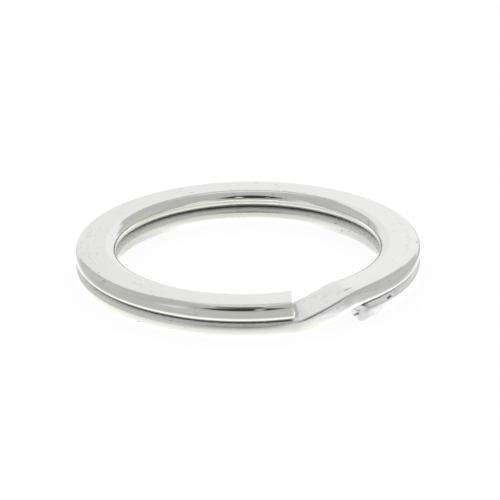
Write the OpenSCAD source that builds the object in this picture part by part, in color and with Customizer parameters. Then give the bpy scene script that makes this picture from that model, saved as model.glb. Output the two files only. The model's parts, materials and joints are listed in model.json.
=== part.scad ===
// Split key ring: one length of flat spring wire, wound edgewise into nearly two
// turns that lie on each other. A pressed joggle lifts the wire from the lower
// turn to the upper one, and the wire's two cut ends lie on either side of it.
// Keys are threaded on between the turns.
//
// Millimetres, +Z up. The origin is the middle of the ring, on the plane that the
// lower turn rests on. The joggle and the cut ends are at the front, towards -Y,
// and angles round the ring are counted from there towards +X.

/* [Ring] */
// Outside diameter of the ring
ring_d = 30; // [22:1:45]
// Turn gap: air between the two turns where they lie on each other
turn_gap = 0.05; // [0.02:0.01:0.15]

/* [Wire] */
// Width of the wire, measured across the ring
wire_w = 3.5; // [2.5:0.1:4.5]
// Thickness of the wire, measured along the ring's axis
wire_t = 1.5; // [1.2:0.05:2]
// Rounding of the wire's outer edge
outer_edge_r = 0.55; // [0.2:0.05:0.58]
// Rounding of the wire's inner edge, which winding swells a little
inner_edge_r = 0.58; // [0.2:0.02:0.58]

/* [Joggle] */
// Angle round the ring of the joggle's middle
joggle_at = 25; // [15:1:40]
// Slope of the ramp between its two bends
joggle_slope = 18; // [14:1:28]
// Bend radius of the two bends, at the middle of the wire's thickness
bend_r = 3; // [1.5:0.25:4]
// Skew of the bend lines from square across the wire
bend_skew = 14; // [0:1:20]

/* [Cut ends] */
// How far the upper end stops short of the ramp, along the outer edge
upper_end_gap = 0.55; // [0:0.05:1]
// Skew of the upper end's cut from square across the wire
upper_cut_skew = -16; // [-25:1:0]
// Air between the relieved underside of the upper end and the ramp
tip_gap = 0.15; // [0.05:0.05:0.3]
// How far the lower end lies past the joggle, along the outer edge
lower_end_gap = 0.3; // [0.1:0.05:2]
// Skew of the lower end's cut from square across the wire
lower_cut_skew = -19; // [-30:1:0]
// Rounding of the upper end's outer corner
upper_end_round = 0.35; // [0.15:0.05:0.8]
// How far the upper end's top and bottom edges are rolled over
upper_end_roll = 0.35; // [0.1:0.05:0.5]
// Rounding of the lower end's outer corner
lower_end_round = 0.7; // [0.15:0.05:0.8]

/* [Hidden] */
$fn = 180;

outer_r = ring_d / 2;
inner_r = outer_r - wire_w;
mid_r = (outer_r + inner_r) / 2;
// Height from one turn to the next
pitch = wire_t + turn_gap;
// Faces in each rounded edge of the wire's section
edge_steps = 5;
// Margin by which a cutting block stands clear of what it doesn't cut
slack = 0.5;

// The joggle's bend lines are parallel. Distance across them is measured from the
// ring's axis, along the direction at this angle.
across = joggle_at + bend_skew;
bend_run = bend_r * sin(joggle_slope);
bend_rise = bend_r * (1 - cos(joggle_slope));
ramp_run = (pitch - 2 * bend_rise) / tan(joggle_slope);
joggle_run = 2 * bend_run + ramp_run;
joggle_from = mid_r * sin(joggle_at - across) - joggle_run / 2;
joggle_to = joggle_from + joggle_run;
// Where the ramp's line would meet the flat turns if the bends were sharp
ramp_from = joggle_from + bend_r * tan(joggle_slope / 2);

// Whole angles round the ring where the joggle's sweep meets the flat turns
sweep_from = floor(across + asin(joggle_from / inner_r)) - 1;
sweep_to = ceil(across + max(asin(joggle_to / inner_r), asin(joggle_to / outer_r))) + 1;
// The sweep's two end sections are let into the flat turns: by this angle, and
// smaller all round by this much, so that the whole wire is one solid
let_in_deg = 1;
let_in = 0.02;
// How far each corner rounding is swung past tangent, so that it meets the cut and
// the outer wall in a clean edge
round_over = 0.005;

// Angles of the cut ends at the outer edge
upper_end_at = across + asin(ramp_from / outer_r) - arc_deg(upper_end_gap, outer_r);
lower_end_at = across + asin(joggle_to / outer_r) + arc_deg(lower_end_gap, outer_r);
// Whole angles, just past the cuts, at which the flat turns are left off
upper_turn_to = ceil(upper_end_at + cut_shift(upper_cut_skew)) + 1;
lower_turn_from = floor(lower_end_at) - 1;

// Angle that an arc of this length takes up at this radius.
function arc_deg(length, r) = length / r * 180 / PI;

// Angle from a cut's outer point to its inner point, for a cut at this skew.
function cut_shift(skew) = asin(outer_r / inner_r * sin(-skew)) + skew;

// Point of the ring at radius r and angle a.
function on_ring(r, a) = [r * sin(a), -r * cos(a)];

// One rounded corner of the section, as arc points from angle a to a + 90.
function corner(x, y, r, a) =
    [for (i = [0:edge_steps]) [x + r * cos(a + 90 * i / edge_steps), y + r * sin(a + 90 * i / edge_steps)]];

// The wire's section, smaller all round by inset: radius from the ring's axis, and
// height from its mid-plane.
function section(inset) =
    let (
        outer_x = outer_r - outer_edge_r,
        outer_z = wire_t / 2 - outer_edge_r,
        inner_x = inner_r + inner_edge_r,
        inner_z = wire_t / 2 - inner_edge_r
    )
    concat(
        corner(outer_x, outer_z, outer_edge_r - inset, 0),
        corner(inner_x, inner_z, inner_edge_r - inset, 90),
        corner(inner_x, -inner_z, inner_edge_r - inset, 180),
        corner(outer_x, -outer_z, outer_edge_r - inset, 270)
    );

// Slope of the wire's mid-plane at distance d past the joggle's start.
function slope_at(d) =
    d <= 0 || d >= joggle_run ? 0 :
    d < bend_run ? asin(d / bend_r) :
    d > joggle_run - bend_run ? asin((joggle_run - d) / bend_r) :
    joggle_slope;

// Rise of the wire's mid-plane at distance d past the joggle's start.
function rise_at(d) =
    d <= 0 ? 0 :
    d >= joggle_run ? pitch :
    d < bend_run ? bend_r * (1 - cos(slope_at(d))) :
    d > joggle_run - bend_run ? pitch - bend_r * (1 - cos(slope_at(d))) :
    bend_rise + (d - bend_run) * tan(joggle_slope);

// A section point carried to angle a: the section stands square to the ramp.
function on_wire(p, a) =
    let (d = p[0] * sin(a - across) - joggle_from, tilt = slope_at(d), back = p[1] * sin(tilt))
    [
        p[0] * sin(a) - back * cos(across),
        -p[0] * cos(a) - back * sin(across),
        wire_t / 2 + rise_at(d) + p[1] * cos(tilt)
    ];

// A flat turn of the wire from angle a to angle b, its underside at height z.
module turn(a, b, z) {
    translate([0, 0, z + wire_t / 2])
        rotate([0, 0, a - 90])
            rotate_extrude(angle = b - a)
                polygon(section(0));
}

// The wire between the two turns: its section swept up the skewed ramp.
module joggle() {
    n = len(section(0));
    full = [for (a = [sweep_from + let_in_deg:sweep_to - let_in_deg], p = section(0)) on_wire(p, a)];
    points = concat(
        [for (p = section(let_in)) on_wire(p, sweep_from - let_in_deg)],
        full,
        [for (p = section(let_in)) on_wire(p, sweep_to + let_in_deg)]
    );
    rings = len(points) / n;
    sides = [
        for (i = [0:rings - 2], k = [0:n - 1])
            let (a = i * n + k, b = i * n + (k + 1) % n)
            each [[a, b, a + n], [b, b + n, a + n]]
    ];
    first = [for (k = [n - 1:-1:0]) k];
    last = [for (k = [0:n - 1]) (rings - 1) * n + k];
    polyhedron(points, concat(sides, [first, last]), convexity = 4);
}

// Block on one side of a cut that meets the outer edge at angle a: beyond it if
// side is 1, before it if side is -1.
module cut_block(a, skew, side, z) {
    depth = wire_w;
    translate(concat(on_ring(outer_r, a), z - slack))
        rotate([0, 0, a + skew])
            translate([side > 0 ? 0 : -depth, -wire_w, 0])
                cube([depth, 3 * wire_w, wire_t + 2 * slack]);
}

// What rounding by radius r takes off the outer corner of a cut end.
module corner_block(a, skew, side, r, z) {
    turned = a + skew;
    along = [cos(turned), sin(turned)] * side;
    inward = [-sin(turned), cos(turned)];
    start = on_ring(outer_r, a) - r * along;
    reach = start * inward;
    middle = start - (reach + sqrt(reach ^ 2 - start * start + (outer_r - r) ^ 2)) * inward;
    outward = middle / norm(middle);
    translate([0, 0, z - slack])
        linear_extrude(wire_t + 2 * slack)
            difference() {
                polygon([
                    middle,
                    middle + 2 * r * along,
                    middle + 3 * r * (along + outward),
                    middle + 2 * r * outward
                ]);
                translate(middle)
                    circle(r + round_over);
            }
}

// What rolling over takes off an edge of the upper end. The edge lies at height z:
// the wire's top edge if up is 1, or its bottom edge if up is -1.
module roll_block(z, up) {
    translate(concat(on_ring(outer_r, upper_end_at), z))
        rotate([90, 0, upper_end_at + upper_cut_skew])
            translate([0, 0, -2 * wire_w])
                linear_extrude(3 * wire_w)
                    difference() {
                        polygon([
                            [-upper_end_roll, -up * upper_end_roll],
                            [slack, -up * upper_end_roll],
                            [slack, up * slack],
                            [-upper_end_roll, up * slack]
                        ]);
                        translate([-upper_end_roll, -up * upper_end_roll])
                            circle(upper_end_roll + round_over);
                    }
}

// What the relief takes off the underside of the upper end, so that it clears the
// ramp it overhangs: a block whose top face lies tip_gap above the ramp.
module relief_block() {
    lift = wire_t / 2 + (wire_t / 2 + tip_gap) / cos(joggle_slope);
    rotate([0, 0, across])
        translate([ramp_from, -outer_r - slack, lift])
            rotate([0, -joggle_slope, 0])
                translate([-wire_w, 0, -2 * wire_t])
                    cube([wire_w + ramp_run * 0.75, outer_r / 2, 2 * wire_t]);
}

// The lower turn, from its cut end round to the joggle.
module lower_turn() {
    difference() {
        turn(lower_turn_from, sweep_from + 360, 0);
        cut_block(lower_end_at, lower_cut_skew, -1, 0);
        corner_block(lower_end_at, lower_cut_skew, -1, lower_end_round, 0);
    }
}

// The upper turn, from the joggle round to its cut and relieved end.
module upper_turn() {
    difference() {
        turn(sweep_to, upper_turn_to + 360, pitch);
        cut_block(upper_end_at, upper_cut_skew, 1, pitch);
        corner_block(upper_end_at, upper_cut_skew, 1, upper_end_round, pitch);
        roll_block(pitch + wire_t, 1);
        roll_block(pitch, -1);
        relief_block();
    }
}

module key_ring() {
    color("gainsboro")
        union() {
            lower_turn();
            joggle();
            upper_turn();
        }
}

key_ring();
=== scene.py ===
"""The looks of a flat-wire split key ring, made round its CAD frame.

One length of bright nickel-plated spring wire is swept by a node tree through two
turns and the joggle between them. It lies on a plain pale table under soft light.
Lengths are in metres and angles in radians unless a name or a docstring says
otherwise.
"""

import json  # noqa: E402
import logging  # noqa: E402
import math  # noqa: E402
from dataclasses import asdict, dataclass, field  # noqa: E402
from enum import Enum  # noqa: E402
from typing import Union  # noqa: E402

import bpy  # noqa: E402
from mathutils import Matrix, Vector  # noqa: E402

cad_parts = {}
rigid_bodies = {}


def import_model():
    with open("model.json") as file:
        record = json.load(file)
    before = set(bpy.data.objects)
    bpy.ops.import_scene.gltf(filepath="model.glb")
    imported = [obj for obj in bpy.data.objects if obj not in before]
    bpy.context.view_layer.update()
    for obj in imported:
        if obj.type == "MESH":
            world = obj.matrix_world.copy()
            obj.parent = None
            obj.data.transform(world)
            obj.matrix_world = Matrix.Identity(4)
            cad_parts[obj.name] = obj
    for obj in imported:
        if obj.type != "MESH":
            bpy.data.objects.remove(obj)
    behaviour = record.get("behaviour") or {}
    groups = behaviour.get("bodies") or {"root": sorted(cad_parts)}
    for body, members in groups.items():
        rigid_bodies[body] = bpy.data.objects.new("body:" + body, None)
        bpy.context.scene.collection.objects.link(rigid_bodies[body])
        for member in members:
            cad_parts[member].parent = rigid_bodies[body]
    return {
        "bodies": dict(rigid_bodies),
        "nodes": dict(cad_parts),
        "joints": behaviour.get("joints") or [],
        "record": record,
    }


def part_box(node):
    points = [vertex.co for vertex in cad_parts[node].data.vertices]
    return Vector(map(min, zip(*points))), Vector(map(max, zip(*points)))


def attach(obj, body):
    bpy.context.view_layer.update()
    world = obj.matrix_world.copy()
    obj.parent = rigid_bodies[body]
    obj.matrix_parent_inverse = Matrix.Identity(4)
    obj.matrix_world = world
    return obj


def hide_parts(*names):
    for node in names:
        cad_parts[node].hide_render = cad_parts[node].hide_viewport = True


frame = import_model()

log = logging.getLogger("key_ring")

MM = 0.001
DEGREE = math.radians(1)
FULL_TURN = 2 * math.pi


def degrees(*angles: float) -> tuple:
    """Turn angles from degrees to radians."""
    return tuple(math.radians(angle) for angle in angles)


class Bend(Enum):
    """Operations of a math node that take one term."""

    SIN = "SINE"
    COS = "COSINE"
    TAN = "TANGENT"
    ASIN = "ARCSINE"
    ROOT = "SQRT"
    SIZE = "ABSOLUTE"


class Pair(Enum):
    """Operations of a math node that take two terms."""

    ADD = "ADD"
    TAKE = "SUBTRACT"
    TIMES = "MULTIPLY"
    OVER = "DIVIDE"
    LEAST = "MINIMUM"
    MOST = "MAXIMUM"
    LESS = "LESS_THAN"
    ARCTAN = "ARCTAN2"


Term = Union["Quantity", float, int]


class Sheet:
    """A node tree that formulas are written into."""

    def __init__(self, tree: bpy.types.NodeTree) -> None:
        """Keep the tree, of shader or geometry nodes."""
        self.tree = tree

    def node(self, kind: str, **settings: object) -> bpy.types.Node:
        """Add a node.

        Args:
            kind: The node's type name.
            settings: Properties to set on the node.

        Returns:
            The new node.
        """
        made = self.tree.nodes.new(kind)
        for name, value in settings.items():
            setattr(made, name, value)
        return made

    def feed(self, socket: bpy.types.NodeSocket, term: object) -> None:
        """Link a quantity or socket to an input, or set the input to a plain value.

        Args:
            socket: The input.
            term: The quantity, the output socket or the value.
        """
        if isinstance(term, Quantity):
            term = term.socket
        if isinstance(term, bpy.types.NodeSocket):
            self.tree.links.new(term, socket)
        else:
            socket.default_value = term

    def fed(self, kind: str, inputs: dict, **settings: object) -> bpy.types.Node:
        """Add a node and feed its inputs.

        Args:
            kind: The node's type name.
            inputs: A term for each input, by the input's name or place.
            settings: Properties to set on the node.

        Returns:
            The new node.
        """
        made = self.node(kind, **settings)
        for key, term in inputs.items():
            self.feed(made.inputs[key], term)
        return made

    def first(self, kind: str, inputs: dict, **settings: object) -> bpy.types.NodeSocket:
        """Add a node as fed() does, and give its first output."""
        return self.fed(kind, inputs, **settings).outputs[0]

    def work(self, operation: Enum, *terms: Term) -> "Quantity":
        """Work out one operation on one or two terms."""
        inputs = dict(enumerate(terms))
        return Quantity(self, self.first("ShaderNodeMath", inputs, operation=operation.value))

    def ramp(self, value: Term, low: Term, high: Term) -> "Quantity":
        """Rise smoothly from 0, where value is low, to 1, where it is high."""
        inputs = {"Value": value, "From Min": low, "From Max": high}
        return Quantity(self, self.first("ShaderNodeMapRange", inputs, interpolation_type="SMOOTHSTEP"))

    def fade(self, value: Term, low: Term, high: Term) -> "Quantity":
        """Fall smoothly from 1, where value is low, to 0, where it is high."""
        return 1.0 - self.ramp(value, low, high)

    def mixed(self, share: Term, low: Term, high: Term) -> "Quantity":
        """Blend from low, at share 0, to high, at share 1."""
        inputs = {0: share, 2: low, 3: high}
        return Quantity(self, self.first("ShaderNodeMix", inputs, data_type="FLOAT"))

    def vector(self, x: Term, y: Term, z: Term) -> bpy.types.NodeSocket:
        """Combine three quantities into a vector socket."""
        return self.first("ShaderNodeCombineXYZ", {"X": x, "Y": y, "Z": z})

    def parts(self, vector: bpy.types.NodeSocket) -> list:
        """Split a vector socket into its x, y and z quantities."""
        split = self.fed("ShaderNodeSeparateXYZ", {0: vector})
        return [Quantity(self, output) for output in split.outputs]

    def noise(self, place: object, scale: float, detail: float = 2.0, rough: float = 0.5) -> "Quantity":
        """Read smooth noise, mostly from 0.2 to 0.8, in layers that are each finer and fainter."""
        inputs = {"Vector": place, "Scale": scale, "Detail": detail, "Roughness": rough}
        return Quantity(self, self.first("ShaderNodeTexNoise", inputs))


class Quantity:
    """A number in a node tree, which Python's operators combine with others."""

    def __init__(self, sheet: Sheet, socket: bpy.types.NodeSocket) -> None:
        """Keep the sheet and the output socket that carries the number."""
        self.sheet = sheet
        self.socket = socket

    def __add__(self, other: Term) -> "Quantity":
        """Sum."""
        return self.sheet.work(Pair.ADD, self, other)

    def __sub__(self, other: Term) -> "Quantity":
        """Difference."""
        return self.sheet.work(Pair.TAKE, self, other)

    def __rsub__(self, other: Term) -> "Quantity":
        """Difference from a plain number."""
        return self.sheet.work(Pair.TAKE, other, self)

    def __mul__(self, other: Term) -> "Quantity":
        """Product."""
        return self.sheet.work(Pair.TIMES, self, other)

    def __truediv__(self, other: Term) -> "Quantity":
        """Quotient."""
        return self.sheet.work(Pair.OVER, self, other)

    def __neg__(self) -> "Quantity":
        """Negative."""
        return self.sheet.work(Pair.TIMES, self, -1.0)

    __radd__ = __add__
    __rmul__ = __mul__

    def bent(self, operation: Bend) -> "Quantity":
        """Apply an operation of one term."""
        return self.sheet.work(operation, self)

    def least(self, other: Term) -> "Quantity":
        """Take the smaller of this and another."""
        return self.sheet.work(Pair.LEAST, self, other)

    def most(self, other: Term) -> "Quantity":
        """Take the larger of this and another."""
        return self.sheet.work(Pair.MOST, self, other)

    def below(self, other: Term) -> "Quantity":
        """Give 1 where this is less than another, and 0 elsewhere."""
        return self.sheet.work(Pair.LESS, self, other)


def sin(angle: Quantity) -> Quantity:
    """Sine of an angle."""
    return angle.bent(Bend.SIN)


def cos(angle: Quantity) -> Quantity:
    """Cosine of an angle."""
    return angle.bent(Bend.COS)


def tan(angle: Quantity) -> Quantity:
    """Tangent of an angle."""
    return angle.bent(Bend.TAN)


def asin(value: Quantity) -> Quantity:
    """Angle whose sine is the value."""
    return value.bent(Bend.ASIN)


def size_of(value: Quantity) -> Quantity:
    """Size of a value, without its sign."""
    return value.bent(Bend.SIZE)


def root(value: Quantity) -> Quantity:
    """Square root of a value."""
    return value.bent(Bend.ROOT)


@dataclass(frozen=True)
class WireSizes:
    """Sizes of the wire, of the joggle and of the cut ends.

    The ring's and the wire's main sizes come from the frame. Each size is also an
    input of the node tree, except that the height and the turn gap stand there as
    the wire's thickness and the pitch of its turns.
    """

    outer_radius: float
    inner_radius: float
    height: float
    turn_gap: float = 0.05 * MM
    outer_edge: float = 0.55 * MM
    inner_edge: float = 0.58 * MM

    # How far the inner roundings reach across the wire and down its wall
    inner_reach: float = 0.96 * MM
    inner_rise: float = 0.72 * MM
    # How far the outer roundings reach across the wire, and near the upper end, where
    # this changes between two angles before the full second turn
    outer_reach: float = 0.62 * MM
    end_reach: float = 0.5 * MM
    end_reach_from: float = math.radians(30)
    end_reach_to: float = math.radians(14)
    # The sharper outer edge of the joggle, and the angles from its middle over which
    # it passes into the others
    ramp_edge: float = 0.2 * MM
    ramp_edge_from: float = math.radians(9)
    ramp_edge_to: float = math.radians(20)
    # How far the lower turn's top roundings reach down its walls, and the angle past
    # the full first turn over which they grow to those of the upper turn
    low_rise: float = 0.42 * MM
    low_rise_turn: float = 1.2
    # The worn bevel inside the upper end's outer edge: its width, its drop as a share
    # of that, and the angles before the full second turn over which it begins
    bevel_width: float = 0.75 * MM
    bevel_drop: float = 0.07
    bevel_from: float = math.radians(36)
    bevel_to: float = math.radians(26)

    joggle_at: float = math.radians(25)
    joggle_slope: float = math.radians(18)
    bend_radius: float = 3 * MM
    bend_skew: float = math.radians(14)

    # Each cut end's edges fall back by its roll, within the fall from the wire's top
    # and bottom, and its face is set back by its recess on the side of the eye
    upper_end_gap: float = 0.55 * MM
    upper_cut_skew: float = math.radians(-16)
    upper_end_round: float = 0.35 * MM
    upper_end_roll: float = 0.36 * MM
    upper_end_fall: float = 0.72 * MM
    upper_end_recess: float = 0.36 * MM
    tip_gap: float = 0.15 * MM
    lower_end_gap: float = 0.3 * MM
    lower_cut_skew: float = math.radians(-19)
    lower_end_round: float = 0.95 * MM
    lower_end_roll: float = 0.1 * MM
    lower_end_fall: float = 0.1 * MM
    lower_end_recess: float = 0.0
    # Depths in from the outer edge between which a recess comes in
    recess_from: float = 0.6 * MM
    recess_to: float = 1.3 * MM

    @classmethod
    def from_frame(cls, packed: dict) -> "WireSizes":
        """Read the ring's sizes from the CAD node's box and the eye's mount.


        Returns:
            The sizes.
        """
        low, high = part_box("key_ring")
        eye = next(m for m in packed["record"]["mounts"] if m["name"] == "eye")
        return cls(outer_radius=high.y, inner_radius=eye["dims"]["r_mm"] * MM, height=high.z - low.z)

    def middle_radius(self) -> float:
        """Radius of the wire's middle line."""
        return (self.outer_radius + self.inner_radius) / 2

    def inputs(self) -> dict:
        """Name the node tree's inputs after the sizes.

        Returns:
            Each input's value under its name.
        """
        sizes = asdict(self)
        height, gap = sizes.pop("height"), sizes.pop("turn_gap")
        sizes["thickness"] = (height - gap) / 2
        sizes["pitch"] = sizes["thickness"] + gap
        return {name.replace("_", " ").title(): value for name, value in sizes.items()}


@dataclass
class WireSweep:
    """The wire's shape: a rounded section carried along the two turns.

    The rows are sections along the wire, and the cap rows close each of its ends.
    """

    sizes: WireSizes
    rows: int = 620
    section_points: int = 112
    edge_steps: int = 24
    cap_rows: int = 30
    # Share by which the last cap row is drawn in to the middle of the cut face
    cap_shrink: float = 0.99
    # How strongly the rows crowd together at the ends and at the joggle
    crowding: float = 0.62
    sheet: Sheet = field(init=False)
    size: dict = field(init=False)

    def build(self, name: str, material: bpy.types.Material) -> bpy.types.Object:
        """Make the wire as a plain mesh.

        Args:
            name: The piece's name.
            material: The finish that the node tree sets.

        Returns:
            The finished mesh object, at the origin.
        """
        carrier = bpy.data.objects.new(name + "_carrier", bpy.data.meshes.new(name + "_carrier"))
        bpy.context.scene.collection.objects.link(carrier)
        tree = self.write_tree()
        modifier = carrier.modifiers.new("sweep", "NODES")
        modifier.node_group = tree
        values = {**self.sizes.inputs(), "Material": material}
        for item in tree.interface.items_tree:
            if item.in_out == "INPUT" and item.name in values:
                modifier[item.identifier] = values[item.name]
        graph = bpy.context.evaluated_depsgraph_get()
        mesh = bpy.data.meshes.new_from_object(carrier.evaluated_get(graph))
        mesh.name = name
        bpy.data.objects.remove(carrier)
        piece = bpy.data.objects.new(name, mesh)
        bpy.context.scene.collection.objects.link(piece)
        return piece

    def write_tree(self) -> bpy.types.NodeTree:
        """Write the node tree that sweeps the wire.

        Returns:
            The tree, whose named inputs are the wire's sizes.
        """
        tree = bpy.data.node_groups.new("wire_sweep", "GeometryNodeTree")
        self.sheet = Sheet(tree)
        for name in self.sizes.inputs():
            tree.interface.new_socket(name, in_out="INPUT", socket_type="NodeSocketFloat")
        tree.interface.new_socket("Material", in_out="INPUT", socket_type="NodeSocketMaterial")
        tree.interface.new_socket("Geometry", in_out="OUTPUT", socket_type="NodeSocketGeometry")
        given = self.sheet.node("NodeGroupInput")
        self.size = {n: Quantity(self.sheet, given.outputs[n]) for n in self.sizes.inputs()}
        first = self.sheet.first
        lines = {"Curve": self.row_line(), "Profile Curve": self.section_line(), "Fill Caps": True}
        outward = first("GeometryNodeFlipFaces", {0: first("GeometryNodeCurveToMesh", lines)})
        place, unrolled, cut = self.place_of_points()
        placed = first("GeometryNodeSetPosition", {0: outward, "Position": place})
        mapped = self.store(placed, "unrolled", unrolled, "FLOAT_VECTOR")
        smooth = first("GeometryNodeSetShadeSmooth", {0: self.store(mapped, "cut_face", cut, "FLOAT")})
        real = first("GeometryNodeRealizeInstances", {0: smooth})
        dressed = first("GeometryNodeSetMaterial", {0: real, "Material": given.outputs["Material"]})
        self.sheet.fed("NodeGroupOutput", {0: dressed})
        return tree

    def store(self, geometry: object, name: str, value: object, kind: str) -> bpy.types.NodeSocket:
        """Store a value on a geometry's points under a name, and give the new geometry."""
        inputs = {0: geometry, "Name": name, "Value": value}
        return self.sheet.first("GeometryNodeStoreNamedAttribute", inputs, data_type=kind)

    def stored(self, name: str, kind: str = "FLOAT") -> Quantity:
        """Read a stored attribute."""
        socket = self.sheet.first("GeometryNodeInputNamedAttribute", {"Name": name}, data_type=kind)
        return Quantity(self.sheet, socket)

    def row_line(self) -> bpy.types.NodeSocket:
        """Make the line whose points become the wire's sections.

        Returns:
            The socket of the line, with each point's number stored.
        """
        line = self.sheet.first("GeometryNodeCurvePrimitiveLine", {"End": (0, 0, 1)})
        count = self.rows + 2 * self.cap_rows
        spaced = self.sheet.first("GeometryNodeResampleCurve", {0: line, "Count": count})
        return self.store(spaced, "row", self.sheet.first("GeometryNodeInputIndex", {}), "FLOAT")

    def section_line(self) -> bpy.types.NodeSocket:
        """Make the wire's rounded section.

        Returns:
            The socket of the section, with each point's place in it stored.
        """
        first, size = self.sheet.first, self.size
        width = size["Outer Radius"] - size["Inner Radius"]
        sides = {"Width": width, "Height": size["Thickness"]}
        outline = first("GeometryNodeCurvePrimitiveQuadrilateral", sides)
        place = first("GeometryNodeInputPosition", {})
        inner = self.sheet.parts(place)[0].below(0.0)
        edge = self.sheet.mixed(inner, size["Outer Edge"], size["Inner Edge"])
        roundings = {0: outline, "Count": self.edge_steps, "Radius": edge}
        rounded = first("GeometryNodeFilletCurve", roundings, mode="POLY")
        spaced = first("GeometryNodeResampleCurve", {0: rounded, "Count": self.section_points})
        swollen = first("GeometryNodeSetPosition", {0: spaced, "Position": self.swell(place, width)})
        return self.store(swollen, "section", place, "FLOAT_VECTOR")

    def swell(self, place: bpy.types.NodeSocket, width: Quantity) -> bpy.types.NodeSocket:
        """Stretch the section's inner roundings from quarter circles to quarter ellipses.

        Args:
            place: The socket of the points' places in the section.
            width: The wire's width.

        Returns:
            The socket of the new places.
        """
        edge, half = self.size["Inner Edge"], self.size["Thickness"] / 2.0
        across, up, _ = self.sheet.parts(place)
        depth = width / 2.0 + across
        stretch = self.size["Inner Reach"] / edge
        rest = (width / 2.0 - self.size["Inner Reach"]) / (width / 2.0 - edge)
        moved = depth.least(edge) * stretch + (depth - edge).most(0.0) * rest
        raised = self.reshaped(size_of(up), half, edge, self.size["Inner Rise"])
        inner = across.below(0.0)
        new_across = self.sheet.mixed(inner, across, moved - width / 2.0)
        new_up = self.sheet.mixed(inner, up, up * (raised / size_of(up)))
        return self.sheet.vector(new_across, new_up, 0.0)

    def reshaped(self, height: Quantity, half: Quantity, rise: Term, new_rise: Term) -> Quantity:
        """Change how far a rounding reaches down the wire's wall.

        Args:
            height: Height over the middle of the wire's thickness.
            half: Half of the thickness.
            rise: How far the rounding reaches down the wall.
            new_rise: How far it is to reach down.

        Returns:
            The new height, which is the old one at the middle and at the top.
        """
        flat = half - rise
        below = height.least(flat) * ((half - new_rise) / flat)
        return below + (height - flat).most(0.0) * (new_rise / rise)

    def place_of_points(self) -> tuple:
        """Work out where each point of the swept wire lies.

        Returns:
            The place, the point's place on the unrolled wire, and the share of a cut
            face at the point.
        """
        sheet, size = self.sheet, self.size
        row = self.stored("row") - self.cap_rows
        last = self.rows - 1
        share = (row / last).most(0.0).least(1.0)
        # 0 on the wire's sides, rising to 1 at the middle of either cut face
        cap = (-row).most(row - last).most(0.0) / self.cap_rows
        section = sheet.parts(self.stored("section", "FLOAT_VECTOR").socket)
        shrink = 1.0 - cap * cap * self.cap_shrink
        thickness, pitch = size["Thickness"], size["Pitch"]
        middle = (size["Outer Radius"] + size["Inner Radius"]) / 2.0
        over = section[0] * shrink
        radius = middle + over
        up = section[1] * shrink

        rule = JoggleRule(size, middle)
        first = rule.lower_end() + self.cut_turn(radius, size["Lower Cut Skew"])
        final = rule.upper_end() + self.cut_turn(radius, size["Upper Cut Skew"]) + 2 * FULL_TURN
        first = first + self.edge_turn("Lower", radius, up)
        final = final - self.edge_turn("Upper", radius, up)
        # the rows crowd together at both ends and, halfway between them, at the joggle
        spread = share - sin(share * 2 * FULL_TURN) * (self.crowding / (2 * FULL_TURN))
        angle = sheet.mixed(spread, first, final)
        over, up = self.outer_rounding(over, up, angle)
        radius = middle + over

        reach = (angle - FULL_TURN - rule.across).most(-math.pi / 2).least(math.pi / 2)
        along = radius * sin(reach) - rule.start
        rise, tilt = rule.rise(along), rule.tilt(along)
        back = up * sin(tilt)
        x = radius * sin(angle) - back * cos(rule.across)
        y = -(radius * cos(angle)) - back * sin(rule.across)
        z = thickness / 2.0 + rise + up * cos(tilt)

        # the upper end's underside is pressed up to clear the ramp below it
        on_tip = 1.0 - angle.below(2 * FULL_TURN)
        floor = rule.relief(radius * sin(angle - rule.across))
        top = pitch + thickness
        left = ((top - floor) / thickness).least(1.0)
        pressed = top - (top - z) * left
        z = sheet.mixed(on_tip, z, pressed)

        unrolled = sheet.vector(angle * middle, over, up)
        cut = (cap * self.cap_rows).least(1.0)
        return sheet.vector(x, y, z), unrolled, cut

    def outer_rounding(self, over: Quantity, up: Quantity, angle: Quantity) -> tuple:
        """Reshape the wire's roundings along its length.

        The outer ones reach further across the top than down the wall, less so near
        the upper end, and are small on the joggle. The lower turn's top ones are lower
        than the rest. A worn bevel follows the upper end's outer edge.

        Args:
            over: Distance outwards from the wire's middle line.
            up: Height over the middle of the wire's thickness.
            angle: Angle along the wire.

        Returns:
            The new distance and height.
        """
        sheet, size = self.sheet, self.size
        half_width = (size["Outer Radius"] - size["Inner Radius"]) / 2.0
        half, edge = size["Thickness"] / 2.0, size["Outer Edge"]
        outer = 1.0 - over.below(0.0)
        to_go = 2 * FULL_TURN - angle
        from_joggle = size_of(angle - FULL_TURN - size["Joggle At"])
        on_ramp = sheet.fade(from_joggle, size["Ramp Edge From"], size["Ramp Edge To"])

        near_end = sheet.fade(to_go, size["End Reach To"], size["End Reach From"])
        reach = sheet.mixed(near_end, size["Outer Reach"], size["End Reach"])
        reach = sheet.mixed(on_ramp, reach, size["Ramp Edge"])
        depth = half_width - over
        inside = (half_width - reach) / (half_width - edge)
        moved = half_width - depth.least(edge) * (reach / edge) - (depth - edge).most(0.0) * inside

        risen = sheet.ramp(angle, FULL_TURN, size["Low Rise Turn"] + FULL_TURN)
        full = sheet.mixed(outer, size["Inner Rise"], edge)
        rise = sheet.mixed(risen, size["Low Rise"], full)
        rise = sheet.mixed(on_ramp * outer, rise, size["Ramp Edge"])
        lifted = self.reshaped(up, half, full, rise)

        worn = (moved - half_width + size["Bevel Width"]).most(0.0) * size["Bevel Drop"]
        on_bevel = sheet.fade(to_go, size["Bevel To"], size["Bevel From"])
        lifted = lifted - worn * on_bevel * outer * (lifted / half)
        on_top = 1.0 - up.below(0.0)
        return sheet.mixed(outer, over, moved), sheet.mixed(on_top, up, lifted)

    def cut_turn(self, radius: Quantity, skew: Quantity) -> Quantity:
        """Angle from a cut's point on the outer edge to its point at a radius."""
        return asin(self.size["Outer Radius"] / radius * sin(-skew)) + skew

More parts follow.
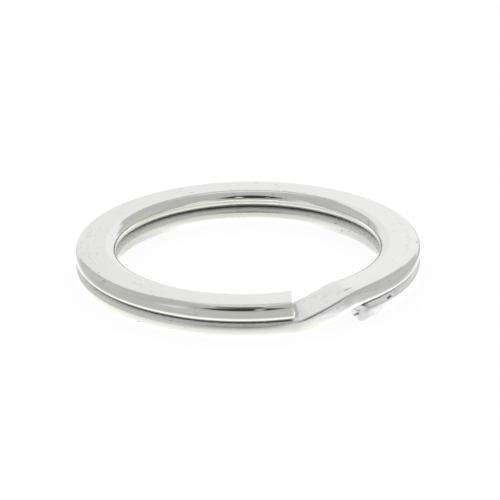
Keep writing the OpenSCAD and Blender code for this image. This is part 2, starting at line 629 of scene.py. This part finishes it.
    def edge_turn(self, end: str, radius: Quantity, up: Quantity) -> Quantity:
        """Work out how far the rounded edges and the recess of a cut end fall back.

        Args:
            end: Which end, as its inputs' names begin.
            radius: The point's radius.
            up: The point's height over the middle of the wire's thickness.

        Returns:
            The angle that they take off at the point.
        """
        sheet, size = self.sheet, self.size
        round_off, roll, fall = (size[f"{end} End {part}"] for part in ("Round", "Roll", "Fall"))
        depth = size["Outer Radius"] - radius
        corner = (round_off - depth).most(0.0) / round_off
        plan = round_off * (1.0 - root((1.0 - corner * corner).most(0.0)))
        edge = (fall - (size["Thickness"] / 2.0 - size_of(up))).most(0.0) / fall
        rolled = 1.0 - root((1.0 - edge * edge).most(0.0))
        # the top edge falls back in a straight chamfer, and the bottom one in an arc
        side = roll * sheet.mixed(up.below(0.0), edge, rolled)
        recess = sheet.ramp(depth, size["Recess From"], size["Recess To"]) * size[f"{end} End Recess"]
        side = side.most(recess)
        return root(plan * plan + side * side) / radius


class JoggleRule:
    """How the wire rises from the lower turn to the upper one.

    The bend lines are parallel. Distance across them is measured from the ring's
    axis, along the direction at the angle `across`.
    """

    def __init__(self, size: dict, middle: Quantity) -> None:
        """Work out the joggle's derived sizes.

        Args:
            size: The node tree's inputs.
            middle: Radius of the wire's middle line.
        """
        self.size = size
        slope, bend = size["Joggle Slope"], size["Bend Radius"]
        self.across = size["Joggle At"] + size["Bend Skew"]
        self.bend_run = bend * sin(slope)
        bend_rise = bend * (1.0 - cos(slope))
        ramp_run = (size["Pitch"] - bend_rise * 2.0) / tan(slope)
        self.run = self.bend_run * 2.0 + ramp_run
        self.start = middle * sin(-size["Bend Skew"]) - self.run / 2.0
        self.ramp_start = self.start + bend * tan(slope / 2.0)

    def near_turn(self, along: Quantity) -> Quantity:
        """Distance into the joggle from the nearer flat turn, and 0 outside it."""
        return along.least(self.run - along).most(0.0)

    def tilt(self, along: Quantity) -> Quantity:
        """Slope of the wire at a distance along the joggle."""
        return asin(self.near_turn(along).least(self.bend_run) / self.size["Bend Radius"])

    def rise(self, along: Quantity) -> Quantity:
        """Work out how far the wire has risen from the lower turn.

        Args:
            along: Distance along the joggle.

        Returns:
            The rise.
        """
        near = self.near_turn(along)
        in_bend = self.size["Bend Radius"] * (1.0 - cos(self.tilt(along)))
        from_turn = in_bend + (near - self.bend_run).most(0.0) * tan(self.size["Joggle Slope"])
        first_half = along.below(self.run / 2.0)
        return self.size["Pitch"] * (1.0 - first_half) + from_turn * (first_half * 2.0 - 1.0)

    def relief(self, over_ramp: Quantity) -> Quantity:
        """Height of the upper end's relieved underside, over a point of the ramp."""
        half, lean = self.size["Thickness"] / 2.0, cos(self.size["Joggle Slope"])
        lift = half + (half + self.size["Tip Gap"]) / lean
        return lift + (over_ramp - self.ramp_start) * tan(self.size["Joggle Slope"])

    def at_edge(self, across: Quantity, past: Quantity) -> Quantity:
        """Angle on the outer edge, so far across the bend lines and so far past that."""
        outer = self.size["Outer Radius"]
        return self.across + asin(across / outer) + past / outer

    def upper_end(self) -> Quantity:
        """Angle of the upper cut end at the ring's outer edge."""
        return self.at_edge(self.ramp_start, -self.size["Upper End Gap"])

    def lower_end(self) -> Quantity:
        """Angle of the lower cut end at the ring's outer edge."""
        return self.at_edge(self.start + self.run, self.size["Lower End Gap"])


@dataclass(frozen=True)
class Spot:
    """A point of the wire's surface, as its finish sees it.

    Along, across and up are its place on the unrolled wire, the last two counted from
    the middle of its width and thickness. Right is its distance from the ring's axis
    towards +X, and height is over the table. All of them are in millimetres. Turn is
    its angle along the wire, and cut is 1 on a cut face and 0 elsewhere.
    """

    sheet: Sheet
    along: Quantity
    across: Quantity
    up: Quantity
    right: Quantity
    height: Quantity
    turn: Quantity
    cut: Quantity

    @classmethod
    def read(cls, sheet: Sheet, middle_radius: float) -> "Spot":
        """Read the wire's attributes and its Object coordinates.

        Args:
            sheet: The material's sheet.
            middle_radius: Radius of the wire's middle line.

        Returns:
            The spot.
        """
        unrolled = sheet.node("ShaderNodeAttribute", attribute_name="unrolled").outputs["Vector"]
        along, across, up = (part / MM for part in sheet.parts(unrolled))
        solid = sheet.node("ShaderNodeTexCoord").outputs["Object"]
        right, _, height = (part / MM for part in sheet.parts(solid))
        turn = along / (middle_radius / MM)
        cut = Quantity(sheet, sheet.node("ShaderNodeAttribute", attribute_name="cut_face").outputs["Fac"])
        return cls(sheet, along, across, up, right, height, turn, cut)

    def scaled(self, lengthwise: float, crosswise: float) -> bpy.types.NodeSocket:
        """The place on the unrolled wire, scaled along it and across it."""
        return self.sheet.vector(self.along * lengthwise, self.across * crosswise, self.up * crosswise)


@dataclass(frozen=True)
class Grain:
    """A noise with so many lumps in a millimetre along the wire, and so many across it."""

    lengthwise: float
    crosswise: float
    detail: float = 2.0
    rough: float = 0.5

    def at(self, spot: Spot) -> Quantity:
        """The noise at a spot, round 0.5."""
        place = spot.scaled(self.lengthwise, self.crosswise)
        return spot.sheet.noise(place, 1.0, self.detail, self.rough)


@dataclass(frozen=True)
class Tone:
    """A tone of grey, and how strongly the blotches vary it."""

    grey: float
    variation: float

    def under(self, blotches: Quantity) -> Quantity:
        """The tone under the blotches, which leave it alone at 0.5."""
        return (blotches - 0.5) * self.variation + self.grey


@dataclass(frozen=True)
class Stroke:
    """A straight mark with soft sides, its ends given in millimetres."""

    from_across: float
    from_up: float
    to_across: float
    to_up: float
    half_width: float

    def at(self, sheet: Sheet, across: Quantity, up: Quantity) -> Quantity:
        """Work out the mark's share at a point.

        Args:
            sheet: The material's sheet.
            across: Distance across the wire.
            up: Height over the middle of the thickness.

        Returns:
            1 on the mark and 0 off it.
        """
        run, climb = self.to_across - self.from_across, self.to_up - self.from_up
        length = run * run + climb * climb
        share = ((across - self.from_across) * run + (up - self.from_up) * climb) / length
        share = share.most(0.0).least(1.0)
        off_across = across - self.from_across - share * run
        off_up = up - self.from_up - share * climb
        gap = root(off_across * off_across + off_up * off_up)
        return sheet.fade(gap, self.half_width / 2, self.half_width)


@dataclass(frozen=True)
class CutterMarksAndGapShadow:
    """Dark torn lines that the cutter left on the two cut faces, a painted shadow of the gap
    along the top of the lower face, and one short dark dash.

    The dash is on the lower turn's outer wall, and its ends are given along the wire
    and up. All sizes are in millimetres.
    """

    lower: tuple = (
        Stroke(-0.85, -0.25, 0.1, -0.05, 0.08),
        Stroke(0.1, -0.05, 1.15, 0.15, 0.05),
        Stroke(0.05, -0.7, 1.0, -0.12, 0.12),
        # painted shadow of the gap, along the top edge of the lower cut face
        Stroke(-1.1, 0.66, 0.1, 0.7, 0.08),
    )
    upper: tuple = (Stroke(-1.06, 0.56, -1.0, 0.6, 0.07),)
    knock: Stroke = Stroke(11.9, 0.52, 12.35, 0.55, 0.085)
    knock_wall: tuple = (1.3, 1.5)
    # How far the lines waver, and how many times in a millimetre
    waver: float = 0.2
    waver_scale: float = 5.0
    # A distance along the wire that parts its lower end from its upper one
    halfway: float = 80.0

    def at(self, spot: Spot) -> Quantity:
        """Work out the marks' share.

        Args:
            spot: The spot.

        Returns:
            1 in a mark and 0 outside.
        """
        sheet = spot.sheet
        waver = sheet.noise(sheet.vector(spot.across, spot.up, 0.0), self.waver_scale) - 0.5
        up = spot.up + waver * self.waver
        on_lower = spot.along.below(self.halfway)
        total = self.knock.at(sheet, spot.along, spot.up) * sheet.ramp(spot.across, *self.knock_wall)
        for strokes, on_end in ((self.lower, on_lower), (self.upper, 1.0 - on_lower)):
            for stroke in strokes:
                total = total.most(stroke.at(sheet, spot.across, up) * on_end * spot.cut)
        return total


@dataclass(frozen=True)
class DieRidge:
    """The fine ridge that the drawing die left along the outer edge near the upper end.

    The distances over which it comes and goes are counted from the full second turn,
    and like the others they are in millimetres.
    """

    across: float = 1.47
    half_width: float = 0.11
    lowest: float = 0.3
    comes: tuple = (-3.6, -2.2)
    goes: tuple = (0.6, 1.9)

    def at(self, spot: Spot, past_turns: Quantity) -> Quantity:
        """Work out the ridge's share.

        Args:
            spot: The spot.
            past_turns: Distance along the wire past the full second turn.

        Returns:
            1 on the ridge's crest, falling to 0 beside it.
        """
        crest = spot.sheet.fade(size_of(spot.across - self.across), 0.0, self.half_width)
        stretch = spot.sheet.ramp(past_turns, *self.comes) * spot.sheet.fade(past_turns, *self.goes)
        return crest * stretch * (1.0 - spot.up.below(self.lowest))


@dataclass(frozen=True)
class Nicks:
    """Small nicks scattered over the wire, which crowd in some places."""

    # Cells in a millimetre along the wire, across it and up, one nick to a cell
    cells: tuple = (0.6, 3.0, 2.4)
    waver: float = 0.5
    waver_grain: Grain = Grain(1.5, 1.5)
    # A nick grows with a slow noise, where that is over a threshold
    spread_grain: Grain = Grain(0.3, 1.0)
    threshold: float = 0.47
    growth: float = 0.85
    edge: tuple = (-0.04, 0.06)

    def at(self, spot: Spot) -> Quantity:
        """Work out the nicks' share.

        Args:
            spot: The spot.

        Returns:
            1 in a nick and 0 outside.
        """
        sheet = spot.sheet
        across = spot.across + (self.waver_grain.at(spot) - 0.5) * self.waver
        lengthwise, crosswise, upright = self.cells
        place = sheet.vector(spot.along * lengthwise, across * crosswise, spot.up * upright)
        inputs = {"Vector": place, "Scale": 1.0, "Randomness": 1.0}
        distance = Quantity(sheet, sheet.first("ShaderNodeTexVoronoi", inputs))
        size = (self.spread_grain.at(spot) - self.threshold).most(0.0) * self.growth
        return sheet.fade(distance - size, *self.edge)


@dataclass(frozen=True)
class NickelPlate:
    """Bright nickel plating on drawn wire, dulled where the turns rub.

    Most pairs say where a zone of the finish comes or goes: heights over the table and
    distances on the wire in millimetres, or angles along it.
    """

    middle_radius: float
    joggle_at: float
    name: str = "nickel_plate"

    # The plating's colour, the yellower one of its pale places, and the grey that
    # takes this one's place towards the ring's right
    colour: tuple = (0.78, 0.78, 0.765)
    pale_colour: tuple = (0.80, 0.805, 0.735)
    pale_grey: float = 0.80
    tint_right: tuple = (4.0, 10.0)
    cut_grey: float = 0.9

    # Zones of the lower turn by height: where it ends, its pale wall, its foot, lightened
    # by a painted reflection of the bright table, its shoulder, lightened by painted light,
    # and the line along that, darkened by a painted shadow of the gap
    lower_turn: tuple = (1.45, 1.6)
    pale_wall: tuple = (1.05, 1.35)
    foot: tuple = (0.4, 0.7)
    shoulder: tuple = (1.1, 1.4)
    shoulder_line: tuple = (1.36, 1.42)
    foot_painted_reflection_grey: float = 0.9
    shoulder_painted_light_grey: float = 0.9
    shoulder_line_painted_shadow: float = 0.2

    # Stretches of the lower turn by angle: its fresher start, its cut end and the
    # rounded corner of that
    fresh_turn: tuple = degrees(60, 85)
    end_turn: tuple = degrees(44, 52)
    corner_turn: tuple = degrees(40, 44)
    fresh_gain: float = 0.08
    end_tone: Tone = Tone(0.66, 0.6)
    corner_tone: Tone = Tone(0.54, 0.5)

    # The joggle, by angle from its middle: its outer wall, a painted reflection as a dark
    # streak along its outer edge, and the rougher place beside the upper end's tip
    ramp_turn: tuple = degrees(9, 16)
    outer_wall: tuple = (1.6, 1.68)
    ramp_tone: Tone = Tone(0.82, 0.5)
    painted_streak_turn: tuple = degrees(4, 10)
    painted_streak_line: float = 0.95
    painted_streak_width: tuple = (0.03, 0.12)
    painted_streak_shade: float = 0.45
    tip_back: float = math.radians(8)
    tip_turn: tuple = degrees(2, 5)

    # Painted shade of the gap between the turns, along the foot of the upper turn's inner wall
    painted_gap_shade_from: tuple = (1.6, 1.9)
    painted_gap_shade_to: tuple = (1.9, 2.35)
    painted_gap_shade_inside: tuple = (-1.2, -0.6)
    painted_gap_shade_strength: float = 0.2

    # Stains on the upper turn's walls, which take the pale colour's tint
    stains: Grain = Grain(0.16, 0.3)
    stain_levels: tuple = (0.48, 0.62)
    stain_top: tuple = (2.4, 2.9)
    stain_wall: tuple = (0.6, 0.8)

    # Fine scuffs, which follow a noise's contour where another is high
    scuffs: Grain = Grain(0.7, 1.3)
    scuff_width: tuple = (0.0, 0.03)
    scuff_patches: Grain = Grain(0.25, 0.5)
    scuff_levels: tuple = (0.5, 0.62)
    scuff_shade: float = 0.12

    # Drawing lines, blotches, nicks, cutter marks with a painted gap shadow, and the die's ridge
    lines: Grain = Grain(0.12, 9.0, 3.0, 0.6)
    line_shade: float = 0.05
    line_depth: float = 0.0012 * MM
    blotches: Grain = Grain(0.8, 1.2, 3.0, 0.55)
    blotch_shade: float = 0.05
    nicks: Nicks = Nicks()
    nick_shade: float = 0.35
    nick_depth: float = 0.006 * MM
    marks: CutterMarksAndGapShadow = CutterMarksAndGapShadow()
    mark_shade: float = 0.8
    ridge: DieRidge = DieRidge()
    ridge_height: float = 0.022 * MM

    # Roughness of each place, and what blotches, nicks and the tip's place add to it
    gloss_rough: float = 0.06
    shoulder_rough: float = 0.5
    pale_rough: float = 0.25
    fresh_rough: float = 0.2
    cut_rough: float = 0.15
    blotch_rough: float = 0.12
    nick_rough: float = 0.35
    tip_rough: float = 0.1

    def material(self) -> bpy.types.Material:
        """Make the plating's material.

        Returns:
            The material.
        """
        made = bpy.data.materials.new(self.name)
        made.use_nodes = True
        sheet = Sheet(made.node_tree)
        spot = Spot.read(sheet, self.middle_radius)
        at = self.shares(spot)
        past_turns = spot.along - self.middle_radius / MM * 2 * FULL_TURN
        relief = at["lines"] * self.line_depth - at["nicks"] * self.nick_depth
        relief = relief + self.ridge.at(spot, past_turns) * self.ridge_height
        bump = sheet.first("ShaderNodeBump", {"Height": relief, "Distance": 1.0, "Strength": 1.0})
        shader = made.node_tree.nodes["Principled BSDF"]
        sheet.feed(shader.inputs["Base Color"], self.tint(sheet, at))
        sheet.feed(shader.inputs["Metallic"], 1.0)
        sheet.feed(shader.inputs["Roughness"], self.roughness(sheet, at))
        sheet.feed(shader.inputs["Normal"], bump)
        return made

    def shares(self, spot: Spot) -> dict:
        """Work out what the finish has at a spot.

        Args:
            spot: The spot.

        Returns:
            The share of each zone and mark, from 0 to 1, under its name.
        """
        sheet, height, turn = spot.sheet, spot.height, spot.turn
        past_joggle = turn - FULL_TURN - self.joggle_at
        from_joggle = size_of(past_joggle)
        # painted reflection: a dark streak along the joggle's outer edge
        worn = sheet.fade(size_of(spot.across - spot.up - self.painted_streak_line), *self.painted_streak_width)
        # painted shade: darker next to the gap between the turns, on the upper turn's inner side
        grime = sheet.ramp(height, *self.painted_gap_shade_from) * sheet.fade(height, *self.painted_gap_shade_to)
        stain = sheet.ramp(self.stains.at(spot), *self.stain_levels) * sheet.fade(height, *self.stain_top)
        scuff = sheet.fade(size_of(self.scuffs.at(spot) - 0.5), *self.scuff_width)
        on_ramp = sheet.fade(from_joggle, *self.ramp_turn)
        return {
            "lower turn": sheet.fade(height, *self.lower_turn),
            "pale wall": sheet.fade(height, *self.pale_wall),
            "foot": sheet.fade(height, *self.foot),
            "shoulder": sheet.ramp(height, *self.shoulder),
            # where the painted shadow of the gap falls along the lower turn's top
            "shoulder line": sheet.ramp(height, *self.shoulder_line),
            "fresh": sheet.fade(turn, *self.fresh_turn),
            "end": sheet.fade(turn, *self.end_turn),
            "corner": sheet.fade(turn, *self.corner_turn),
            "ramp wall": on_ramp * sheet.ramp(spot.across, *self.outer_wall),
            "worn": worn * sheet.fade(from_joggle, *self.painted_streak_turn),
            "tip": sheet.fade(size_of(past_joggle + self.tip_back), *self.tip_turn),
            "grime": grime * sheet.fade(spot.across, *self.painted_gap_shade_inside),
            "stain": stain * sheet.fade(size_of(spot.up), *self.stain_wall),
            "scuff": scuff * sheet.ramp(self.scuff_patches.at(spot), *self.scuff_levels),
            "tinted": sheet.fade(spot.right, *self.tint_right),
            "lines": self.lines.at(spot),
            "blotches": self.blotches.at(spot),
            "nicks": self.nicks.at(spot),
            "marks": self.marks.at(spot),
            "cut": spot.cut,
        }

    def roughness(self, sheet: Sheet, at: dict) -> Quantity:
        """Work out the roughness.

        Args:
            sheet: The material's sheet.
            at: The shares of the zones and marks.

        Returns:
            The roughness.
        """
        lower = sheet.mixed(at["pale wall"], self.shoulder_rough, self.pale_rough)
        rough = sheet.mixed(at["lower turn"], self.gloss_rough, lower)
        rough = rough + (at["blotches"] - 0.5).most(0.0) * self.blotch_rough + at["nicks"] * self.nick_rough
        rough = sheet.mixed(at["fresh"] * at["lower turn"], rough, self.fresh_rough)
        return sheet.mixed(at["cut"], rough + at["tip"] * self.tip_rough, self.cut_rough)

    def shade(self, at: dict) -> Quantity:
        """Work out how much light the marks leave, with the painted shade of the gap and the painted
        reflection along the joggle's edge.

        Args:
            at: The shares of the zones and marks.

        Returns:
            The factor on the colour, round 1.
        """
        shade = Tone(1.0, self.blotch_shade).under(at["blotches"]) + (at["lines"] - 0.5) * self.line_shade
        shade = shade - at["nicks"] * self.nick_shade - at["scuff"] * self.scuff_shade
        # painted shade of the gap between the turns
        shade = shade * (1.0 - at["grime"] * self.painted_gap_shade_strength)
        # the painted reflection along the joggle's edge darkens the colour here too
        return shade * (1.0 - at["marks"] * self.mark_shade) * (1.0 - at["worn"] * self.painted_streak_shade)

    def tint(self, sheet: Sheet, at: dict) -> bpy.types.NodeSocket:
        """Work out the colour.

        Args:
            sheet: The material's sheet.
            at: The shares of the zones and marks.

        Returns:
            The colour's socket.
        """
        shade, blotches = self.shade(at), at["blotches"]
        # painted light: the lower turn's shoulder is lighter than the plating, a little more near the
        # turn's start
        shoulder = at["fresh"] * self.fresh_gain + self.shoulder_painted_light_grey
        at_end = at["end"] * (1.0 - at["shoulder"])
        # painted shadow of the gap: the top of the lower end's corner is darker along the shoulder line
        corner = self.corner_tone.under(blotches) - at["shoulder line"] * self.shoulder_line_painted_shadow
        parts = []
        for share, pale_share in zip(self.colour, self.pale_colour):
            pale = sheet.mixed(at["tinted"], self.pale_grey, pale_share)
            lower = sheet.mixed(at["pale wall"], shoulder, pale)
            # painted reflection of the bright table, which lightens the lower turn's foot
            lower = sheet.mixed(at["foot"], lower, self.foot_painted_reflection_grey)
            lower = sheet.mixed(at_end, lower, self.end_tone.under(blotches))
            lower = sheet.mixed(at["corner"], lower, corner)
            upper = sheet.mixed(at["stain"], share, pale * share / self.pale_grey)
            upper = sheet.mixed(at["ramp wall"], upper, self.ramp_tone.under(blotches))
            upper = sheet.mixed(at["cut"], upper, self.cut_grey)
            parts.append(shade * sheet.mixed(at["lower turn"], upper, lower))
        return sheet.first("ShaderNodeCombineColor", dict(enumerate(parts)))


@dataclass
class KeyRing:
    """The key ring: one swept wire in its plating."""

    sizes: WireSizes

    def build(self) -> bpy.types.Object:
        """Make the wire, in place of the CAD node.

        Returns:
            The wire's piece.
        """
        plating = NickelPlate(self.sizes.middle_radius(), self.sizes.joggle_at)
        piece = WireSweep(self.sizes).build("key_ring_wire", plating.material())
        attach(piece, "root")
        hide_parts("key_ring")
        log.info("%s: %d faces", piece.name, len(piece.data.polygons))
        return piece


@dataclass
class Table:
    """A plain pale table top, which isn't part of the object.

    The wire mirrors it as brighter close to the ring than further off towards the
    camera, where the light falls away. Pairs say where a zone comes or goes, and a
    slant is a distance sideways over a distance back from the ring's axis.
    """

    ring_radius: float
    eye_radius: float
    side: float = 4.0
    white: float = 0.9
    # What the camera sees is mostly an even glow, and the rest takes the ring's shadow
    glow: float = 1.03
    glow_share: float = 0.85

    # Outside the ring: the open table, and what the band close to the ring adds
    open_level: float = 0.62
    near_gain: float = 0.66
    near_from: float = 0.8 * MM
    near_to: float = 3.6 * MM
    # The zone at the front right, where the near band is wider
    front_right: tuple = (1.27, 1.38)
    front_right_gain: float = 0.07
    front_right_widening: float = 0.6 * MM
    # Behind the ring, but neither far to its right nor in its far corners, of which the
    # right one reaches nearer the middle
    rear_gain: float = 0.38
    rear_depth: tuple = (0.0, 8 * MM)
    rear_slant: tuple = (1.2, 2.2)
    corner_slant: tuple = (0.8, 1.1)
    corner_reach: tuple = (18 * MM, 35 * MM)
    right_side: tuple = (0.0, 2 * MM)
    right_lean: float = 0.33
    # Far behind, in the middle
    far_level: float = 0.5
    far_depth: tuple = (30 * MM, 60 * MM)
    far_slant: tuple = (0.3, 0.5)

    # Seen through the eye: its front, and its back with a brighter rim, both of which
    # have one value in the middle and one at the sides
    under_wire: float = 0.5 * MM
    eye_front_level: float = 1.35
    eye_depth: tuple = (2 * MM, 5 * MM)
    eye_side: tuple = (4 * MM, 9 * MM)
    eye_back_levels: tuple = (0.8, 0.66)
    rim_gains: tuple = (0.5, 0.22)
    rim_width: tuple = (0.8 * MM, 2.6 * MM)

    def build(self) -> bpy.types.Object:
        """Make the table top.

        Returns:
            The table.
        """
        half = self.side / 2
        mesh = bpy.data.meshes.new("table")
        corners = [(-half, -half, 0), (half, -half, 0), (half, half, 0), (-half, half, 0)]
        mesh.from_pydata(corners, [], [(0, 1, 2, 3)])
        top = bpy.data.objects.new("table", mesh)
        bpy.context.scene.collection.objects.link(top)
        mesh.materials.append(self.material())
        return top

    def material(self) -> bpy.types.Material:
        """Make the white of the table.

        Returns:
            The material.
        """
        made = bpy.data.materials.new("table_white")
        made.use_nodes = True
        sheet = Sheet(made.node_tree)
        made.node_tree.nodes.remove(made.node_tree.nodes["Principled BSDF"])
        rays = sheet.node("ShaderNodeLightPath").outputs
        matt = sheet.first("ShaderNodeBsdfDiffuse", {"Color": (self.white, self.white, self.white, 1)})
        glow = sheet.first("ShaderNodeEmission", {"Strength": self.glow})
        mirrored = sheet.first("ShaderNodeEmission", {"Strength": self.mirrored_level(sheet)})
        share = Quantity(sheet, rays["Is Camera Ray"]) * self.glow_share
        both = sheet.first("ShaderNodeMixShader", {0: share, 1: matt, 2: glow})
        either = sheet.first("ShaderNodeMixShader", {0: rays["Is Glossy Ray"], 1: both, 2: mirrored})
        sheet.feed(made.node_tree.nodes["Material Output"].inputs["Surface"], either)
        return made

    def mirrored_level(self, sheet: Sheet) -> Quantity:
        """Work out how bright the table is where the wire mirrors it.

        Args:
            sheet: The material's sheet.

        Returns:
            The brightness.
        """
        x, y, _ = sheet.parts(sheet.node("ShaderNodeTexCoord").outputs["Object"])
        from_axis, back = root(x * x + y * y), y.most(MM)

        zone = sheet.ramp((x - y) / from_axis, *self.front_right)
        near_to = zone * self.front_right_widening + self.near_to
        near = sheet.fade(from_axis - self.ring_radius, self.near_from, near_to)
        slant = size_of(x) / back + sheet.ramp(x, *self.right_side) * self.right_lean
        in_corner = sheet.ramp(slant, *self.corner_slant) * sheet.ramp(from_axis, *self.corner_reach)
        rear = sheet.ramp(y, *self.rear_depth) * sheet.fade(x / back, *self.rear_slant)
        rear = rear * (1.0 - in_corner) * self.rear_gain
        outside = zone * self.front_right_gain + self.open_level
        outside = outside + near * self.near_gain + rear * (1.0 - near)

        side = sheet.ramp(size_of(x), *self.eye_side)
        rim = sheet.fade(self.eye_radius - from_axis, *self.rim_width)
        eye_back = sheet.mixed(side, *self.eye_back_levels) + rim * sheet.mixed(side, *self.rim_gains)
        in_eye = sheet.mixed(sheet.ramp(y, *self.eye_depth), self.eye_front_level, eye_back)

        level = sheet.mixed(from_axis.below(self.eye_radius + self.under_wire), outside, in_eye)
        far = sheet.ramp(y, *self.far_depth) * sheet.fade(size_of(x) / back, *self.far_slant)
        return sheet.mixed(far, level, self.far_level)


@dataclass(frozen=True)
class Patch:
    """A soft oval patch of the surroundings, its place and size in degrees.

    Its turn is counted towards +X, from the front or from the back. Its tone is whole
    up to its core and gone at its rim, as shares of its size.
    """

    turn: float
    rise: float
    half_turn: float
    half_rise: float
    tone: float
    core: float
    rim: float = 1.2
    from_back: bool = False


@dataclass
class Sky:
    """The soft light all round, with the dark front where the camera stands.

    Only mirrored rays see its tones and patches. Turns and rises are in degrees, and
    the zones of the tone all round follow the direction's own x and y.
    """

    tone: float = 0.57
    back_zone: tuple = (-0.2, 1.0)
    back_gain: float = 0.05
    side_zone: tuple = (0.5, 0.8)
    side_back: tuple = (-0.3, 0.2)
    side_gain: float = 0.06

    # The bright backdrop, whose top climbs to the left and whose sides lean in
    backdrop_top: float = 30.5
    top_slope: float = 0.95
    top_climb: float = 13.0
    top_edge: tuple = (-1.0, 2.0)
    side_lean: float = 0.25
    side_edge: tuple = (32.0, 44.0)
    # Its tone grows to the right, between a least and a most
    backdrop_tone: float = 1.01
    tone_slope: float = 0.01
    backdrop_tones: tuple = (0.97, 1.04)

    patches: tuple = (
        Patch(0, 54, 16, 16, 0.86, 0.5, rim=1.1, from_back=True),
        Patch(42, 8, 15, 20, 0.92, 0.7),
        Patch(-51, 4, 13, 40, 0.88, 0.2),
        Patch(-4, 44, 32, 25, 0.05, 0.7),
        Patch(8, 39, 4.5, 6, 1.4, 0.5),
    )

    def build(self) -> bpy.types.World:
        """Make the world.

        Returns:
            The world.
        """
        world = bpy.data.worlds.new("studio")
        bpy.context.scene.world = world
        world.use_nodes = True
        sheet = Sheet(world.node_tree)
        shader = world.node_tree.nodes["Background"]
        mirrored = Quantity(sheet, sheet.node("ShaderNodeLightPath").outputs["Is Glossy Ray"])
        sheet.feed(shader.inputs["Strength"], sheet.mixed(mirrored, 1.0, self.mirrored_level(sheet)))
        sheet.feed(shader.inputs["Color"], (1, 1, 1, 1))
        return world

    def mirrored_level(self, sheet: Sheet) -> Quantity:
        """Work out how bright the surroundings are where the wire mirrors them.

        Args:
            sheet: The world's sheet.

        Returns:
            The brightness.
        """
        x, y, z = sheet.parts(sheet.node("ShaderNodeTexCoord").outputs["Generated"])
        past_front = sheet.work(Pair.ARCTAN, x, -y) / DEGREE
        past_back = sheet.work(Pair.ARCTAN, x, y) / DEGREE
        rise = asin(z) / DEGREE
        at_side = sheet.ramp(size_of(x), *self.side_zone) * sheet.ramp(y, *self.side_back)
        level = sheet.ramp(y, *self.back_zone) * self.back_gain + at_side * self.side_gain + self.tone

        top = (past_back * -self.top_slope).most(0.0).least(self.top_climb) + self.backdrop_top
        in_backdrop = sheet.fade(rise - top, *self.top_edge)
        in_backdrop = in_backdrop * sheet.fade(size_of(past_back) + rise * self.side_lean, *self.side_edge)
        least, most = self.backdrop_tones
        backdrop = (past_back * self.tone_slope + self.backdrop_tone).least(most).most(least)
        level = sheet.mixed(in_backdrop, level, backdrop)

        for patch in self.patches:
            wide = ((past_back if patch.from_back else past_front) - patch.turn) / patch.half_turn
            tall = (rise - patch.rise) / patch.half_rise
            inside = sheet.fade(root(wide * wide + tall * tall), patch.core, patch.rim)
            level = sheet.mixed(inside, level, patch.tone)
        return level


@dataclass
class Camera:
    """The camera, which looks down on the ring from the front."""

    lens_mm: float = 185.0
    sensor_mm: float = 36.0
    distance: float = 224.9 * MM
    rise: float = math.radians(22.39)
    roll: float = math.radians(-0.79)
    shift: tuple = (0.0036, 0.044)
    clip: tuple = (0.01, 10.0)

    def build(self) -> bpy.types.Object:
        """Make the camera and set it as the scene's.

        Returns:
            The camera.
        """
        data = bpy.data.cameras.new("camera")
        data.lens, data.sensor_width = self.lens_mm, self.sensor_mm
        data.shift_x, data.shift_y = self.shift
        data.clip_start, data.clip_end = self.clip
        made = bpy.data.objects.new("camera", data)
        bpy.context.scene.collection.objects.link(made)
        back = Vector((0, -math.cos(self.rise), math.sin(self.rise)))
        turned = back.to_track_quat("Z", "Y").to_matrix().to_4x4()
        place = Matrix.Translation(back * self.distance)
        made.matrix_world = place @ turned @ Matrix.Rotation(self.roll, 4, "Z")
        bpy.context.scene.camera = made
        return made


@dataclass
class Studio:
    """The table, the light and the camera."""

    sizes: WireSizes

    def build(self) -> None:
        """Make each of them, and report it."""
        table = Table(self.sizes.outer_radius, self.sizes.inner_radius)
        for part in (table, Sky(), Camera()):
            log.info("studio: %s", part.build().name)


def main() -> None:
    logging.basicConfig(level=logging.INFO)
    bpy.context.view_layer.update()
    bpy.context.scene.view_settings.view_transform = "Standard"
    sizes = WireSizes.from_frame(frame)
    Studio(sizes).build()
    KeyRing(sizes).build()


if __name__ == "__main__":
    main()
